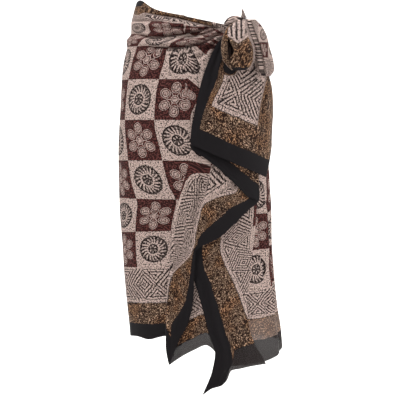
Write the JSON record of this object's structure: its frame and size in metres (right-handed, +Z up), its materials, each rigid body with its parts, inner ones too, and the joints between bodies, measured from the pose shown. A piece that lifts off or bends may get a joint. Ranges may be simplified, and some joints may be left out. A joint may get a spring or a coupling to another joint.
{
  "type": "sarong",
  "caption": "Hollow worn sarong: a printed cloth wound round the hips and knotted in a bow at the left hip, with cascading corners.",
  "frame": {"origin": "middle of the waist opening, where the wearer holds the cloth up", "axes": "+Z up out of the waist, -Y towards the front, +X towards the wearer's left, where the bow is"},
  "size_m": [0.4006, 0.3422, 0.9333],
  "materials": {
    "printed_voile": "thin printed voile, matt"
  },
  "bodies": {
    "root": {"wrap": "printed_voile", "under_end": "printed_voile", "inner_lap": "printed_voile", "front_flap": "printed_voile", "tail": "printed_voile", "knot": "printed_voile", "bow_loop_left": "printed_voile", "bow_loop_right": "printed_voile", "knot_tip": "printed_voile"}
  },
  "joints": []
}
